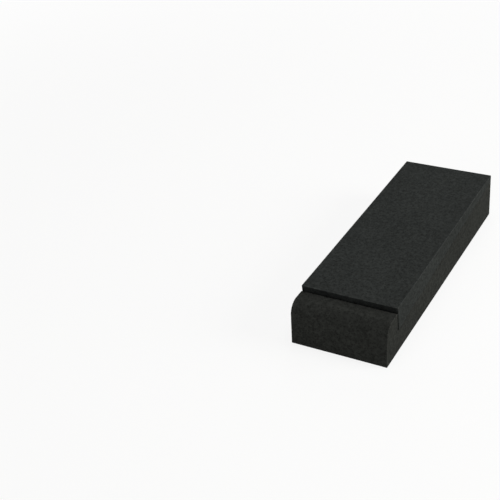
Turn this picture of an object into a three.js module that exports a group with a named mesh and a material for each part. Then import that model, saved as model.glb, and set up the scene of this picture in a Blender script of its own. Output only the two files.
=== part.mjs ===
// Speaker isolation pad of open-cell foam, in millimetres, +Z up.
//
// A base pad lies on the desk. It has a rounded nose along its front end, and behind the nose
// its top is a seat that rises towards the back. A loose wedge insert lies on that seat with
// its thick end against the nose, and fills the pad to a level top. The speaker stands on it.
//
// Origin: the middle of the footprint, on the underside. +Y runs along the pad, from the nose
// to the back end, and +X runs across it.

import * as THREE from 'three';

// The whole pad.
const padLength = 304.8;
const padWidth = 101.6;
const padHeight = 50.8;

// The nose along the front end of the base pad.
const noseReach = 28.4; // from the foot of its front face back to the insert's front face
const stepDrop = 5.8; // how far its top lies below the top of the insert
const frontLean = 4; // degrees that its front face leans back from upright
const noseRadius = 13; // the rounding from its front face to its top
const noseBackRadius = 0.5; // the softened edge along the insert
const noseGap = 0.9; // how far the loose insert stands off the nose

// The wedge insert and the seat under it.
const wedgeAngle = 4; // degrees
const insertBackThickness = 7.4;
const fitGap = 0.3; // the clearance between the insert and the seat

// Dark charcoal foam, matte all over.
const baseFoamColour = '#2a2b29';
const insertFoamColour = '#2c2e2d';
const foamRoughness = 0.96;

const roundingSegments = 12; // each rounding is drawn with twice as many straight steps

// Faces of the two profiles, worked out from the sizes above.
const frontY = -padLength / 2;
const backY = padLength / 2;
const insertFrontY = frontY + noseReach;
const noseBackY = insertFrontY - noseGap;
const noseTopZ = padHeight - stepDrop;
const lean = THREE.MathUtils.degToRad(frontLean);
const slope = THREE.MathUtils.degToRad(wedgeAngle);
const insertBackUnderZ = padHeight - insertBackThickness;

// Height of the insert's sloping underside at a distance y along the pad.
function insertUnderZ(y) {
  return insertBackUnderZ - (backY - y) * Math.tan(slope);
}

// Height of the base pad's seat, which lies the fit gap under the insert.
function seatZ(y) {
  return insertUnderZ(y) - fitGap / Math.cos(slope);
}

// A closed profile in the pad's YZ plane, extruded across the width and centred on it.
function foamSlab(name, profile, colour) {
  const geometry = new THREE.ExtrudeGeometry(profile, {
    depth: padWidth,
    bevelEnabled: false,
    curveSegments: roundingSegments,
  });
  const material = new THREE.MeshStandardMaterial({
    color: colour,
    roughness: foamRoughness,
    metalness: 0,
  });
  const slab = new THREE.Mesh(geometry, material);
  slab.name = name;
  // The profile's x runs along the pad, its y runs up, and the extrusion runs across.
  const along = new THREE.Vector3(0, 1, 0);
  const up = new THREE.Vector3(0, 0, 1);
  const across = new THREE.Vector3(1, 0, 0);
  slab.setRotationFromMatrix(new THREE.Matrix4().makeBasis(along, up, across));
  slab.position.x = -padWidth / 2;
  return slab;
}

// The base pad: flat underside, leaning front face, rounded nose, upright wall behind the
// nose, sloping seat, and an upright back end that is flush with the insert's.
function basePadProfile() {
  const topLength = noseReach - noseGap - noseBackRadius - noseTopZ * Math.tan(lean);
  const radius = Math.min(noseRadius, topLength);
  const centreZ = noseTopZ - radius;
  const centreY = frontY + (radius + centreZ * Math.sin(lean)) / Math.cos(lean);
  const profile = new THREE.Shape();
  profile.moveTo(backY, 0);
  profile.lineTo(frontY, 0);
  profile.absarc(centreY, centreZ, radius, Math.PI - lean, Math.PI / 2, true);
  profile.absarc(
    noseBackY - noseBackRadius, noseTopZ - noseBackRadius, noseBackRadius, Math.PI / 2, 0, true,
  );
  profile.lineTo(noseBackY, seatZ(noseBackY));
  profile.lineTo(backY, seatZ(backY));
  profile.closePath();
  return profile;
}

// The wedge insert: level top, upright ends, and an underside that follows the seat.
function wedgeInsertProfile() {
  const profile = new THREE.Shape();
  profile.moveTo(insertFrontY, insertUnderZ(insertFrontY));
  profile.lineTo(backY, insertBackUnderZ);
  profile.lineTo(backY, padHeight);
  profile.lineTo(insertFrontY, padHeight);
  profile.closePath();
  return profile;
}

const speakerPad = new THREE.Group();
speakerPad.add(foamSlab('base_pad', basePadProfile(), baseFoamColour));
speakerPad.add(foamSlab('wedge_insert', wedgeInsertProfile(), insertFoamColour));

export default speakerPad;
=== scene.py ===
# Speaker isolation pad of charcoal foam: a base pad with a rounded nose, and a loose wedge
# insert that lies on its sloping seat and makes the top level.

import math

import bmesh
import bpy
from bpy.props import FloatProperty, FloatVectorProperty, PointerProperty
from mathutils import Matrix, Vector, noise


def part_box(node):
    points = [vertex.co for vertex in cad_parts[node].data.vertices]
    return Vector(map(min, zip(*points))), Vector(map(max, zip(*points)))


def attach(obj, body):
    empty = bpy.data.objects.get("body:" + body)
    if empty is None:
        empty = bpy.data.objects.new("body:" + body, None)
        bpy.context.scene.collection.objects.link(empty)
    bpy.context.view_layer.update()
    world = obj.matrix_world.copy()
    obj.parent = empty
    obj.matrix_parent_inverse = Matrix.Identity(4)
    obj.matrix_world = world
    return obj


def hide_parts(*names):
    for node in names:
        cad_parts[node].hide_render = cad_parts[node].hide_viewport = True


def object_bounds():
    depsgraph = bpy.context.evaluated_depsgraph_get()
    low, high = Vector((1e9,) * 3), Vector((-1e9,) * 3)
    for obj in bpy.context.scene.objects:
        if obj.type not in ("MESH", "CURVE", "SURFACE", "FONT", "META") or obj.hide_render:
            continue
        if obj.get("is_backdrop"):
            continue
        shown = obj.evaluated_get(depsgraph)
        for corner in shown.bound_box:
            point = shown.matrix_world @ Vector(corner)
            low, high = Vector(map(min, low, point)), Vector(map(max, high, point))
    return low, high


bl_info = {
    "name": "Speaker Isolation Pad",
    "version": (1, 0, 0),
    "blender": (4, 5, 0),
    "location": "View3D > Sidebar > Foam Pad",
    "description": "Foam pad with a loose wedge insert, and a pale stage to show it on",
    "category": "Add Mesh",
}

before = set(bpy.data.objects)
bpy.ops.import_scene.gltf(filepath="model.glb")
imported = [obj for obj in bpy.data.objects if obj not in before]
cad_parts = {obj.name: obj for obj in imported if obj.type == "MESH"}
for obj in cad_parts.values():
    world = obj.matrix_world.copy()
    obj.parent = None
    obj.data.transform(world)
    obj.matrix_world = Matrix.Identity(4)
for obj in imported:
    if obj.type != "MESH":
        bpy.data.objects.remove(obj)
CAD_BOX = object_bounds()
BASE_LOW, BASE_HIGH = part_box("base_pad")
INSERT_LOW, INSERT_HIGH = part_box("wedge_insert")

MM = 0.001
WHITE = (1.0, 1.0, 1.0, 1.0)


def linear(hex_colour):
    """The linear colour of an sRGB hex value, such as "#2C2E2D"."""
    channels = [int(hex_colour[i : i + 2], 16) / 255 for i in (1, 3, 5)]
    return tuple(
        c / 12.92 if c <= 0.04045 else ((c + 0.055) / 1.055) ** 2.4 for c in channels
    )


class PadShape(bpy.types.PropertyGroup):
    """Sizes of the two foam pieces that their CAD solids don't give."""

    nose_radius: FloatProperty(
        name="Nose radius",
        description="Rounding from the nose's front face to its top",
        default=13 * MM,
        unit="LENGTH",
    )
    nose_lean: FloatProperty(
        name="Nose lean",
        description="How far the front face leans back from upright",
        default=math.radians(4),
        subtype="ANGLE",
    )
    nose_back_radius: FloatProperty(
        name="Nose back radius",
        description="Rounding of the nose's top edge along the insert",
        default=0.5 * MM,
        unit="LENGTH",
    )
    wedge_angle: FloatProperty(
        name="Wedge angle",
        description="Slope of the seat and of the insert's underside",
        default=math.radians(4),
        subtype="ANGLE",
    )
    nose_gap: FloatProperty(
        name="Nose gap",
        description="How far the loose insert stands off the nose",
        default=0.9 * MM,
        unit="LENGTH",
    )
    seat_gap: FloatProperty(
        name="Seat gap",
        description="Air left between the seat and the insert, which lies on it",
        default=0.05 * MM,
        unit="LENGTH",
    )
    edge_radius: FloatProperty(
        name="Edge radius",
        description="Softening of the cut edges",
        default=0.3 * MM,
        unit="LENGTH",
    )


class FoamLook(bpy.types.PropertyGroup):
    """Colours and surface of the foam."""

    base_colour: FloatVectorProperty(
        name="Base colour",
        description="Charcoal of the base pad",
        subtype="COLOR",
        size=3,
        default=linear("#2A2B29"),
    )
    insert_colour: FloatVectorProperty(
        name="Insert colour",
        description="Charcoal of the insert, a shade lighter than the base",
        subtype="COLOR",
        size=3,
        default=linear("#2C2E2D"),
    )
    patch: FloatProperty(
        name="Mesh patch",
        description="Side of the small faces that carry the unevenness of the cut",
        default=1.3 * MM,
        unit="LENGTH",
    )
    wave: FloatProperty(
        name="Wave",
        description="How far the long faces wander from flat",
        default=0.12 * MM,
        unit="LENGTH",
    )
    nibble: FloatProperty(
        name="Nibble",
        description="How far single cells stand out or sink in",
        default=0.05 * MM,
        unit="LENGTH",
    )


class StageLook(bpy.types.PropertyGroup):
    """Camera, lamps and floor."""

    azimuth: FloatProperty(
        name="Azimuth",
        description="Direction that the camera looks from, from the nose end towards the right",
        default=math.radians(32.165),
        subtype="ANGLE",
    )
    elevation: FloatProperty(
        name="Elevation",
        description="Height of the camera above the horizon",
        default=math.radians(32.38),
        subtype="ANGLE",
    )
    roll: FloatProperty(
        name="Roll",
        description="Turn of the camera about its own line of sight",
        default=math.radians(-5.785),
        subtype="ANGLE",
    )
    distance: FloatProperty(
        name="Distance",
        description="From the camera to the point of the floor that it looks at",
        default=1172.69 * MM,
        unit="LENGTH",
    )
    target: FloatVectorProperty(
        name="Target",
        description="Point of the floor at the middle of the picture",
        size=3,
        default=(-172.864 * MM, -18.355 * MM, 0.0),
        subtype="TRANSLATION",
    )
    lens: FloatProperty(
        name="Lens",
        description="Focal length in millimetres on a sensor 36 mm wide",
        default=74.158,
    )
    overhead_power: FloatProperty(
        name="Overhead lamp",
        description="Power of the soft box over the pad",
        default=24.6,
        unit="POWER",
    )
    side_power: FloatProperty(
        name="Side lamp",
        description="Power of the soft box on the right",
        default=21.0,
        unit="POWER",
    )
    front_power: FloatProperty(
        name="Front lamp",
        description="Power of the weak soft box in front of the nose",
        default=6.8,
        unit="POWER",
    )
    rear_power: FloatProperty(
        name="Rear lamp",
        description="Power of the weak soft box behind the pad, on the left",
        default=5.0,
        unit="POWER",
    )
    ambient: FloatProperty(
        name="Ambient",
        description="Strength of the plain light from all round",
        default=0.02,
        min=0.0,
    )


def add_node(tree, kind, inputs=None, **settings):
    """Adds a node, gives it its settings, and sets or links the inputs named."""
    node = tree.nodes.new(kind)
    for name, value in settings.items():
        setattr(node, name, value)
    for name, value in (inputs or {}).items():
        if isinstance(value, bpy.types.NodeSocket):
            tree.links.new(value, node.inputs[name])
        else:
            node.inputs[name].default_value = value
    return node


def new_material(name):
    """An empty node material."""
    material = bpy.data.materials.new(name)
    material.use_nodes = True
    material.node_tree.nodes.clear()
    return material


def per_metre(size_mm):
    """Texture scale that gives one feature every size_mm millimetres."""
    return 1 / (size_mm * MM)


# Open-cell polyurethane foam, cut with a blade. The cut leaves thousands of opened cells about
# a millimetre across, so the surface is dead matte, finely speckled and a little uneven in tone.
# The softened edges get a painted highlight, and the insert's face in the joint gets painted
# shade.
# The cells are drawn about twice as large as real ones, because finer ones would not show from
# a step away.
PORE_MM = 2.2
GRAIN_MM = 4.2
CLOUD_MM = 34.0
FOAM_ROUGHNESS = 1.0
FOAM_IOR = 1.5
FOAM_SPECULAR = 0.03
RELIEF_STRENGTH = 0.12
RELIEF_MM = 0.35

# How dark and how light each feature makes the foam: the floor and the wall of a cell, the
# grain of the cut, slow drifts of tone, the painted shade in the joint, and the painted highlight
# on the softened edges.
PIT_TONE = (0.6, 1.16)
GRAIN_TONE = (0.7, 1.28)
DRIFT_TONE = (0.92, 1.08)
PAINTED_LIGHT_TONE = (0.45, 1.55)

# The part of each texture's values that those tones are spread over.
PIT_RANGE = (0.0, 0.55)
NOISE_RANGE = (0.3, 0.7)
PAINTED_LIGHT_RANGE = (-1.0, 1.0)


def cut_foam(name, colour):
    """Charcoal open-cell foam with a cut surface."""
    material = new_material(name)
    tree = material.node_tree
    place = add_node(tree, "ShaderNodeTexCoord").outputs["Object"]
    pores = add_node(
        tree,
        "ShaderNodeTexVoronoi",
        {"Vector": place, "Scale": per_metre(PORE_MM), "Randomness": 1.0},
        feature="F1",
    ).outputs["Distance"]
    grain = add_node(
        tree,
        "ShaderNodeTexNoise",
        {"Vector": place, "Scale": per_metre(GRAIN_MM), "Detail": 3.0, "Roughness": 0.65},
    ).outputs["Fac"]
    cloud = add_node(
        tree,
        "ShaderNodeTexNoise",
        {"Vector": place, "Scale": per_metre(CLOUD_MM), "Detail": 2.0},
    ).outputs["Fac"]
    # The wear attribute paints light and shade into the colour: a painted highlight on the
    # softened edges, and painted shade on the insert's face in the joint.
    wear = add_node(tree, "ShaderNodeAttribute", attribute_name="wear").outputs["Fac"]
    tone = 1.0
    for value, (low, high), (dark, light), blend in (
        (pores, PIT_RANGE, PIT_TONE, "SMOOTHSTEP"),
        (grain, NOISE_RANGE, GRAIN_TONE, "LINEAR"),
        (cloud, NOISE_RANGE, DRIFT_TONE, "LINEAR"),
        (wear, PAINTED_LIGHT_RANGE, PAINTED_LIGHT_TONE, "LINEAR"),
    ):
        factor = add_node(
            tree,
            "ShaderNodeMapRange",
            {"Value": value, "From Min": low, "From Max": high, "To Min": dark, "To Max": light},
            interpolation_type=blend,
        ).outputs["Result"]
        tone = add_node(
            tree, "ShaderNodeMath", {0: tone, 1: factor}, operation="MULTIPLY"
        ).outputs["Value"]
    shaded = add_node(
        tree, "ShaderNodeVectorMath", {0: tuple(colour), "Scale": tone}, operation="SCALE"
    )
    relief = add_node(tree, "ShaderNodeMath", {0: pores, 1: grain}, operation="ADD")
    bump = add_node(
        tree,
        "ShaderNodeBump",
        {
            "Height": relief.outputs["Value"],
            "Strength": RELIEF_STRENGTH,
            "Distance": RELIEF_MM * MM,
        },
    )
    surface = add_node(
        tree,
        "ShaderNodeBsdfPrincipled",
        {
            "Base Color": shaded.outputs["Vector"],
            "Roughness": FOAM_ROUGHNESS,
            "IOR": FOAM_IOR,
            "Specular IOR Level": FOAM_SPECULAR,
            "Normal": bump.outputs["Normal"],
        },
    )
    add_node(tree, "ShaderNodeOutputMaterial", {"Surface": surface.outputs["BSDF"]})
    return material


TOUCHING = 0.01 * MM
ONE_POINT = 0.001 * MM
SHARP = math.radians(30)
NOSE_SEGMENTS = 20
NOSE_BACK_SEGMENTS = 5
EDGE_SEGMENTS = 3


def extruded_profile(corners, half_width):
    """A closed block whose end faces are the profile of (y, z) corners."""
    bm = bmesh.new()
    end = bm.faces.new([bm.verts.new((-half_width, y, z)) for y, z in corners])
    made = bmesh.ops.extrude_face_region(bm, geom=[end])["geom"]
    far_end = [v for v in made if isinstance(v, bmesh.types.BMVert)]
    bmesh.ops.translate(bm, verts=far_end, vec=(2 * half_width, 0, 0))
    bmesh.ops.recalc_face_normals(bm, faces=bm.faces)
    return bm


def cross_edge(bm, corner):
    """The edge that runs across the pad at a (y, z) corner of the profile."""
    for edge in bm.edges:
        if all(math.dist(v.co.yz, corner) < TOUCHING for v in edge.verts):
            return edge
    raise RuntimeError(f"no edge across the pad at {corner}")


def off_line(point, start, end):
    """Distance of a point from the line through two (y, z) corners, seen along the width."""
    along = (Vector(end) - Vector(start)).normalized()
    return abs(along.cross(point.yz - Vector(start)))


def round_edges(bm, edges, offset, segments):
    """Rounds the edges and returns the new faces."""
    made = bmesh.ops.bevel(
        bm,
        geom=edges,
        offset=offset,
        segments=segments,
        profile=0.5,
        affect="EDGES",
        material=-1,
        clamp_overlap=True,
    )
    return made["faces"]


def slice_up(bm, axis, rim, patch):
    """Cuts the mesh across an axis: a rim at each end, and even slices no wider than patch.

    Each cut looks only at the faces on its own side of the cut before it."""
    places = [v.co[axis] for v in bm.verts]
    low, high = min(places) + rim, max(places) - rim
    count = math.ceil((high - low) / patch)
    planes = [low + (high - low) * i / count for i in range(count + 1)]
    normal = Vector([float(i == axis) for i in range(3)])

    def cut(faces, planes):
        if not planes or not faces:
            return
        middle = len(planes) // 2
        place = planes[middle]
        edges = dict.fromkeys(e for f in faces for e in f.edges)
        verts = dict.fromkeys(v for f in faces for v in f.verts)
        made = bmesh.ops.bisect_plane(
            bm,
            geom=[*faces, *edges, *verts],
            dist=ONE_POINT,
            plane_co=normal * place,
            plane_no=normal,
        )
        below, above = [], []
        for item in made["geom"]:
            if isinstance(item, bmesh.types.BMFace):
                side = below if item.calc_center_median()[axis] < place else above
                side.append(item)
        cut(below, planes[:middle])
        cut(above, planes[middle + 1 :])

    cut(list(bm.faces), planes)


# Length of a slow wave of the cut surface, and of a nibble out of it. The seed picks the pattern,
# which is otherwise a new one on each run.
WAVE_MM = 85.0
NIBBLE_MM = 3.2
CUT_SEED = 7

# Width of the strip beside a softened edge that the painted highlight spreads over, and the
# value of "wear" on the face in the joint, which is painted shade. It is 1 on a
# highlighted edge and 0 elsewhere.
HIGHLIGHT_RIM = 0.3 * MM
JOINT_SHADE = -0.47


def uneven(point, wave, nibble):
    """How far a point of the cut foam lies from where a perfect cut would leave it.

    It depends on the place alone, so faces that touch move together."""
    slow = noise.noise_vector(point * per_metre(WAVE_MM)) * wave
    quick = noise.noise_vector(point * per_metre(NIBBLE_MM)) * nibble
    return slow + quick


def foam_piece(bm, name, edge_radius, gets_painted_highlight, look, shaded_joint_face=None):
    """Softens the edges of a block and makes it a finished piece of cut foam.

    gets_painted_highlight says, of a point on a softened edge, whether that edge gets a painted
    highlight. shaded_joint_face gives the (y, z) corners of a face in the joint, which gets
    painted shade."""
    sharp = [e for e in bm.edges if e.is_convex and e.calc_face_angle() > SHARP]
    # Flags the softened faces that get a painted highlight.
    worn = bm.faces.layers.int.new("worn")
    for face in round_edges(bm, sharp, edge_radius, EDGE_SEGMENTS):
        face[worn] = gets_painted_highlight(face.calc_center_median())
    # Along the pad first, where the slices are many, then across it and up.
    for axis in (1, 0, 2):
        slice_up(bm, axis, edge_radius + HIGHLIGHT_RIM, look.patch)
    bmesh.ops.remove_doubles(bm, verts=bm.verts, dist=ONE_POINT)
    # Vertices of the flagged faces get the painted highlight.
    wear = [float(any(f[worn] for f in v.link_faces)) for v in bm.verts]
    # The face in the joint gets painted shade wherever it has no painted highlight.
    if shaded_joint_face:
        for i, vert in enumerate(bm.verts):
            if off_line(vert.co, *shaded_joint_face) < TOUCHING and not wear[i]:
                wear[i] = JOINT_SHADE
    noise.seed_set(CUT_SEED)
    for vert in bm.verts:
        vert.co += uneven(vert.co, look.wave, look.nibble)
        vert.co.z = max(vert.co.z, 0.0)
    for face in bm.faces:
        face.smooth = True
    mesh = bpy.data.meshes.new(name)
    bm.to_mesh(mesh)
    bm.free()
    mesh.attributes.new("wear", "FLOAT", "POINT").data.foreach_set("value", wear)
    piece = bpy.data.objects.new(name, mesh)
    bpy.context.collection.objects.link(piece)
    return piece


def underside(y, shape):
    """Height of the insert's underside at a distance y along the pad."""
    return INSERT_LOW.z + (y - INSERT_LOW.y) * math.tan(shape.wedge_angle)


class FOAMPAD_OT_base_pad(bpy.types.Operator):
    """Build the base pad with its rounded nose and sloping seat"""

    bl_idname = "foampad.base_pad"
    bl_label = "Base pad"

    def execute(self, context):
        shape = context.scene.pad_shape
        look = context.scene.foam_look
        front, back, top = BASE_LOW.y, BASE_HIGH.y, BASE_HIGH.z
        joint = INSERT_LOW.y - shape.nose_gap
        nose_front = (front + top * math.tan(shape.nose_lean), top)
        nose_back = (joint, top)
        seat_front = (joint, underside(joint, shape) - shape.seat_gap)
        seat_back = (back, underside(back, shape) - shape.seat_gap)
        corners = [(front, 0), nose_front, nose_back, seat_front, seat_back, (back, 0)]
        bm = extruded_profile(corners, BASE_HIGH.x)
        half_corner = (math.pi / 2 + shape.nose_lean) / 2
        nose_offset = shape.nose_radius / math.tan(half_corner)
        round_edges(bm, [cross_edge(bm, nose_front)], nose_offset, NOSE_SEGMENTS)
        back_edge = cross_edge(bm, nose_back)
        round_edges(bm, [back_edge], shape.nose_back_radius, NOSE_BACK_SEGMENTS)

        # All softened edges except those along the seat and the wall get a painted highlight.
        def gets_painted_highlight(point):
            seat = off_line(point, seat_front, seat_back)
            wall = off_line(point, nose_back, seat_front)
            return min(seat, wall) > 2 * shape.edge_radius

        piece = foam_piece(bm, "base_pad_foam", shape.edge_radius, gets_painted_highlight, look)
        piece.data.materials.append(cut_foam("charcoal_base_foam", look.base_colour))
        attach(piece, "root")
        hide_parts("base_pad")
        return {"FINISHED"}


class FOAMPAD_OT_wedge_insert(bpy.types.Operator):
    """Build the loose wedge that lies on the seat"""

    bl_idname = "foampad.wedge_insert"
    bl_label = "Wedge insert"

    def execute(self, context):
        shape = context.scene.pad_shape
        look = context.scene.foam_look
        front, back, top = INSERT_LOW.y, INSERT_HIGH.y, INSERT_HIGH.z
        slope = shape.wedge_angle
        # The thick end is cut square to the sloping underside, so its foot lies further back.
        end_height = (top - INSERT_LOW.z) * math.cos(slope)
        foot = (front + end_height * math.sin(slope), top - end_height * math.cos(slope))
        crown = (front, top)
        thin_foot = (back, underside(back, shape))
        bm = extruded_profile([foot, crown, (back, top), thin_foot], INSERT_HIGH.x)

        # All softened edges except the underside's and the thick end's below the base top get a
        # painted highlight.
        def gets_painted_highlight(point):
            under = off_line(point, foot, thin_foot)
            thick_end = off_line(point, foot, crown) if point.z < BASE_HIGH.z else math.inf
            return min(under, thick_end) > 2 * shape.edge_radius

        # The thick end's face in the joint gets painted shade.
        piece = foam_piece(
            bm, "wedge_insert_foam", shape.edge_radius, gets_painted_highlight, look, shaded_joint_face=(foot, crown)
        )
        piece.data.materials.append(cut_foam("charcoal_insert_foam", look.insert_colour))
        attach(piece, "root")
        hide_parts("wedge_insert")
        return {"FINISHED"}


FLOOR_SIDE = 4.0
FLOOR_DROP = 0.2 * MM

# The camera sees the floor near the pad as this share of pure white, which rises to the whole
# at the second of these distances in metres, so the floor has no horizon.
FLOOR_WHITE_SHARE = 0.85
WHITENING = (0.45, 1.6)

# Where each soft box stands and the side of its square, in metres, and the tint of its light.
SOFT_BOXES = {
    "overhead": ((0.1, 0.15, 2.2), 1.6, "#FFFFFF"),
    "side": ((1.5, 0.35, 0.75), 0.9, "#FFFFFB"),
    "front": ((-0.3, -1.6, 0.45), 1.0, "#FFFFFF"),
    "rear": ((-0.6, 1.5, 0.9), 0.8, "#FFFFFF"),
}

SENSOR_WIDTH_MM = 36.0
CLIP_NEAR = 0.05
CLIP_FAR = 20.0


def seen_rays(tree):
    """1 for what the camera sees, straight or in a gloss or through glass, and 0 for light."""
    path = add_node(tree, "ShaderNodeLightPath")
    seen = path.outputs["Is Camera Ray"]
    for other in ("Is Glossy Ray", "Is Transmission Ray"):
        seen = add_node(
            tree, "ShaderNodeMath", {0: seen, 1: path.outputs[other]}, operation="MAXIMUM"
        ).outputs["Value"]
    return seen


def white_floor():
    """Pale paper floor. The camera sees it nearly white, with the pad's soft shadow on it."""
    material = new_material("pale_paper_floor")
    tree = material.node_tree
    paper = add_node(tree, "ShaderNodeBsdfDiffuse", {"Color": (*linear("#F8F8F6"), 1.0)})
    glow = add_node(tree, "ShaderNodeEmission", {"Color": WHITE, "Strength": 1.0})
    place = add_node(tree, "ShaderNodeTexCoord").outputs["Object"]
    far = add_node(tree, "ShaderNodeVectorMath", {0: place}, operation="LENGTH")
    whiteness = add_node(
        tree,
        "ShaderNodeMapRange",
        {
            "Value": far.outputs["Value"],
            "From Min": WHITENING[0],
            "From Max": WHITENING[1],
            "To Min": FLOOR_WHITE_SHARE,
            "To Max": 1.0,
        },
        interpolation_type="SMOOTHSTEP",
    )
    share = add_node(
        tree,
        "ShaderNodeMath",
        {0: seen_rays(tree), 1: whiteness.outputs["Result"]},
        operation="MULTIPLY",
    )
    mixed = add_node(
        tree,
        "ShaderNodeMixShader",
        {"Fac": share.outputs["Value"], 1: paper.outputs["BSDF"], 2: glow.outputs["Emission"]},
    )
    add_node(tree, "ShaderNodeOutputMaterial", {"Surface": mixed.outputs["Shader"]})
    return material


def soft_box(name, place, aim, side, power, tint):
    """A square lamp of the given side at a place, turned towards aim."""
    lamp = bpy.data.lights.new(name, "AREA")
    lamp.shape = "SQUARE"
    lamp.size = side
    lamp.energy = power
    lamp.color = linear(tint)
    box = bpy.data.objects.new(name, lamp)
    box.matrix_world = (
        Matrix.Translation(place)
        @ (Vector(aim) - Vector(place)).to_track_quat("-Z", "Y").to_matrix().to_4x4()
    )
    bpy.context.collection.objects.link(box)


class FOAMPAD_OT_stage(bpy.types.Operator):
    """Set out the camera, the lamps, the plain light and the floor"""

    bl_idname = "foampad.stage"
    bl_label = "Stage"

    def execute(self, context):
        stage = context.scene.stage_look
        self.camera(context, stage)
        self.world(context, stage)
        middle = (CAD_BOX[0] + CAD_BOX[1]) / 2
        for name, (place, side, tint) in SOFT_BOXES.items():
            power = getattr(stage, f"{name}_power")
            soft_box(f"{name}_soft_box", place, middle, side, power, tint)
        self.floor(context)
        context.scene.view_settings.view_transform = "Standard"
        return {"FINISHED"}

    def camera(self, context, stage):
        """Aims the camera at the floor from its azimuth, elevation and roll."""
        azimuth, elevation = stage.azimuth, stage.elevation
        back = Vector(
            (
                math.sin(azimuth) * math.cos(elevation),
                -math.cos(azimuth) * math.cos(elevation),
                math.sin(elevation),
            )
        )
        level = Vector((math.cos(azimuth), math.sin(azimuth), 0))
        upright = back.cross(level)
        turn = Matrix.Rotation(stage.roll, 3, back)
        axes = Matrix((turn @ level, turn @ upright, back)).transposed()
        data = bpy.data.cameras.new("camera")
        data.sensor_width = SENSOR_WIDTH_MM
        data.lens = stage.lens
        data.clip_start = CLIP_NEAR
        data.clip_end = CLIP_FAR
        camera = bpy.data.objects.new("camera", data)
        place = Vector(stage.target) + back * stage.distance
        camera.matrix_world = Matrix.Translation(place) @ axes.to_4x4()
        context.collection.objects.link(camera)
        context.scene.camera = camera

    def world(self, context, stage):
        """Plain light from all round, which the camera sees as white."""
        world = bpy.data.worlds.new("plain_light")
        world.use_nodes = True
        tree = world.node_tree
        tree.nodes.clear()
        strength = add_node(
            tree,
            "ShaderNodeMapRange",
            {"Value": seen_rays(tree), "To Min": stage.ambient, "To Max": 1.0},
        )
        light = add_node(
            tree,
            "ShaderNodeBackground",
            {"Color": WHITE, "Strength": strength.outputs["Result"]},
        )
        add_node(tree, "ShaderNodeOutputWorld", {"Surface": light.outputs["Background"]})
        context.scene.world = world

    def floor(self, context):
        """A flat square just under the pad."""
        bm = bmesh.new()
        bmesh.ops.create_grid(bm, x_segments=1, y_segments=1, size=FLOOR_SIDE / 2)
        bmesh.ops.translate(bm, verts=bm.verts, vec=(0, 0, -FLOOR_DROP))
        mesh = bpy.data.meshes.new("floor")
        bm.to_mesh(mesh)
        bm.free()
        mesh.materials.append(white_floor())
        floor = bpy.data.objects.new("floor", mesh)
        context.collection.objects.link(floor)
        floor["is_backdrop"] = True


class VIEW3D_PT_foam_pad(bpy.types.Panel):
    """Lists the pieces of the pad and its stage"""

    bl_label = "Foam pad"
    bl_space_type = "VIEW_3D"
    bl_region_type = "UI"
    bl_category = "Foam Pad"

    def draw(self, context):
        for operator in OPERATORS:
            self.layout.operator(operator.bl_idname)
        for group in GROUPS:
            settings = getattr(context.scene, group)
            for name in settings.__annotations__:
                self.layout.prop(settings, name)


OPERATORS = (FOAMPAD_OT_stage, FOAMPAD_OT_base_pad, FOAMPAD_OT_wedge_insert)
GROUPS = {"pad_shape": PadShape, "foam_look": FoamLook, "stage_look": StageLook}


def register():
    for kind in (*GROUPS.values(), *OPERATORS, VIEW3D_PT_foam_pad):
        bpy.utils.register_class(kind)
    for name, group in GROUPS.items():
        setattr(bpy.types.Scene, name, PointerProperty(type=group))


def unregister():
    for name in GROUPS:
        delattr(bpy.types.Scene, name)
    for kind in (VIEW3D_PT_foam_pad, *reversed(OPERATORS), *GROUPS.values()):
        bpy.utils.unregister_class(kind)


def main():
    """Builds the stage and the pad, and works out the CAD box and the finished box."""
    register()
    bpy.ops.foampad.stage()
    bpy.ops.foampad.base_pad()
    bpy.ops.foampad.wedge_insert()
    boxes = {"cad": CAD_BOX, "visual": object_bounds()}
    {name: [list(corner) for corner in box] for name, box in boxes.items()}


if __name__ == "__main__":
    main()
